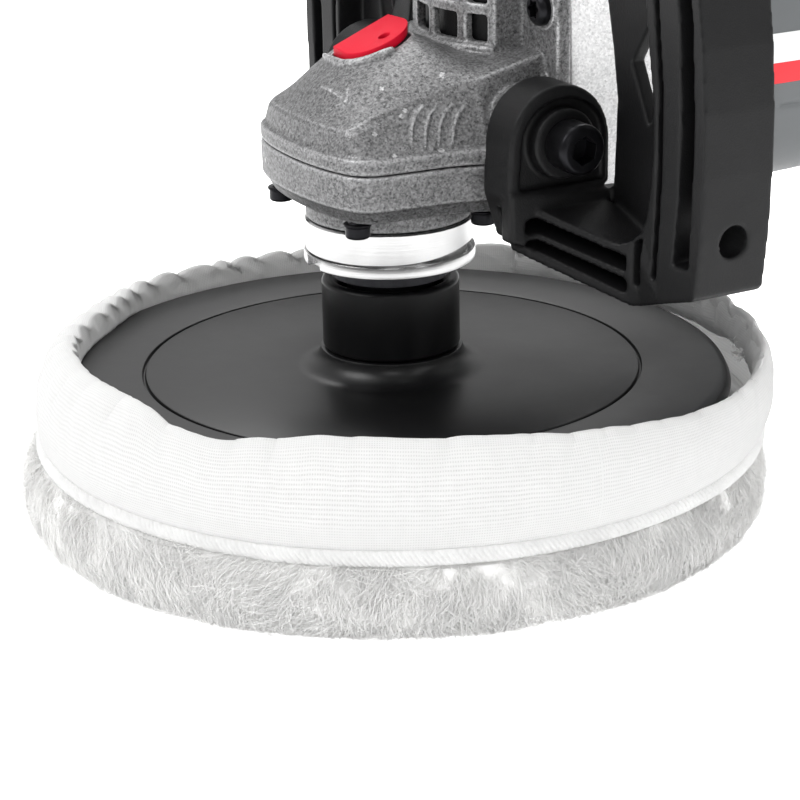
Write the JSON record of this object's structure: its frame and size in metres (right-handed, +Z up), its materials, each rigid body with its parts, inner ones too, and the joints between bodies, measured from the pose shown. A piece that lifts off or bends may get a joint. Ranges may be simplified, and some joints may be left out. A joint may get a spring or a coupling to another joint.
{
  "type": "rotary polisher",
  "caption": "Corded rotary polisher with a metal gear head, a ribbed loop handle, a rear grip with trigger and a round pad that carries a wool bonnet.",
  "frame": {"origin": "on the spindle axis, in the plane of the wool's polishing face", "axes": "+Z up along the spindle away from the work, +Y back along the motor and rear grip, +X the right-hand side"},
  "size_m": [0.2004, 0.4365, 0.205],
  "materials": {
    "wool": "dense cut wool pile",
    "cloth": "woven cotton",
    "elastic": "covered elastic cord",
    "foam": "open-cell foam",
    "pad": "moulded, slightly glossy",
    "hub": "satin",
    "dark_steel": "blued steel",
    "black_steel": "black oxide",
    "steel": "ground",
    "bright_steel": "machined bright",
    "casting": "fine hammertone paint over casting",
    "casting_bright": "bare casting",
    "grey_plastic": "satin",
    "black_plastic": "fine grain",
    "red": "gloss",
    "copper": "turned copper",
    "brass": "sheet brass",
    "carbon": "pressed carbon"
  },
  "bodies": {
    "tool_body": {"field_stator": "dark_steel", "bearing_box_screw_1": "black_steel", "bearing_box_screw_2": "black_steel", "bearing_box_screw_3": "black_steel", "bearing_box_screw_4": "black_steel", "flange_screw_1": "black_steel", "flange_screw_2": "black_steel", "flange_screw_3": "black_steel", "flange_screw_4": "black_steel", "handle_screw_1": "black_steel", "handle_screw_2": "black_steel", "handle_screw_3": "black_steel", "handle_bolt_right": "black_steel", "handle_bolt_left": "black_steel", "spindle_ball_bearing": "steel", "spindle_needle_bearing": "steel", "lock_spring": "steel", "countershaft_bearing_front": "steel", "countershaft_bearing_rear": "steel", "armature_bearing_front": "steel", "armature_bearing_rear": "steel", "guard_collar": "bright_steel", "bearing_box": "casting", "gear_housing": "casting", "fan_housing": "casting_bright", "motor_housing": "grey_plastic", "brush_cap_right": "black_plastic", "brush_cap_left": "black_plastic", "rear_handle_right": "black_plastic", "rear_handle_left": "black_plastic", "switch_body": "black_plastic", "cable_inlet": "black_plastic", "loop_handle": "black_plastic", "brush_holder_right": "brass", "brush_holder_left": "brass", "carbon_brush_right": "carbon", "carbon_brush_left": "carbon", "speed_control": "carbon"},
    "spindle_group": {"spindle": "dark_steel", "ring_gear": "steel", "pad_hub": "hub", "backing_pad": "pad", "pad_foam": "foam", "bonnet_skirt": "cloth", "hem_elastic": "elastic", "wool_pile": "wool"},
    "countershaft_group": {"countershaft": "steel", "reduction_gear": "steel"},
    "armature_group": {"armature_shaft": "steel", "armature_core": "dark_steel", "commutator": "copper", "cooling_fan": "grey_plastic"},
    "lock_group": {"lock_button": "red", "lock_pin": "steel"},
    "trigger_body": {"trigger": "black_plastic"},
    "lock_on_body": {"lock_on_button": "black_plastic"},
    "dial_body": {"speed_dial": "black_plastic"}
  },
  "joints": [
    {"name": "spindle_spin", "type": "hinge", "parent": "tool_body", "child": "spindle_group", "pos_m": [0, 0, 0.097], "axis": [0, 0, 1], "continuous": true},
    {"name": "countershaft_spin", "type": "hinge", "parent": "tool_body", "child": "countershaft_group", "pos_m": [0, 0.009, 0.097], "axis": [0, 1, 0], "continuous": true},
    {"name": "armature_spin", "type": "hinge", "parent": "tool_body", "child": "armature_group", "pos_m": [0, 0.03, 0.113], "axis": [0, 1, 0], "continuous": true},
    {"name": "lock_button_press", "type": "slide", "parent": "tool_body", "child": "lock_group", "axis": [0, 0, -1], "range_m": [0, 0.003], "stiffness_N_per_m": 900, "deforming": ["lock_spring"]},
    {"name": "trigger_pull", "type": "hinge", "parent": "tool_body", "child": "trigger_body", "pos_m": [0, 0.214, 0.11], "axis": [1, 0, 0], "range_deg": [0, 7], "stiffness_Nm_per_rad": 1.5},
    {"name": "lock_on_press", "type": "slide", "parent": "tool_body", "child": "lock_on_body", "axis": [1, 0, 0], "range_m": [0, 0.003], "stiffness_N_per_m": 600},
    {"name": "speed_dial_turn", "type": "hinge", "parent": "tool_body", "child": "dial_body", "pos_m": [0, 0.276, 0.137], "axis": [1, 0, 0], "range_deg": [-135, 135]}
  ],
  "couplings": [
    {"joint": "countershaft_spin", "follows": "spindle_spin", "ratio": 2.8571},
    {"joint": "armature_spin", "follows": "spindle_spin", "ratio": -7.619}
  ]
}
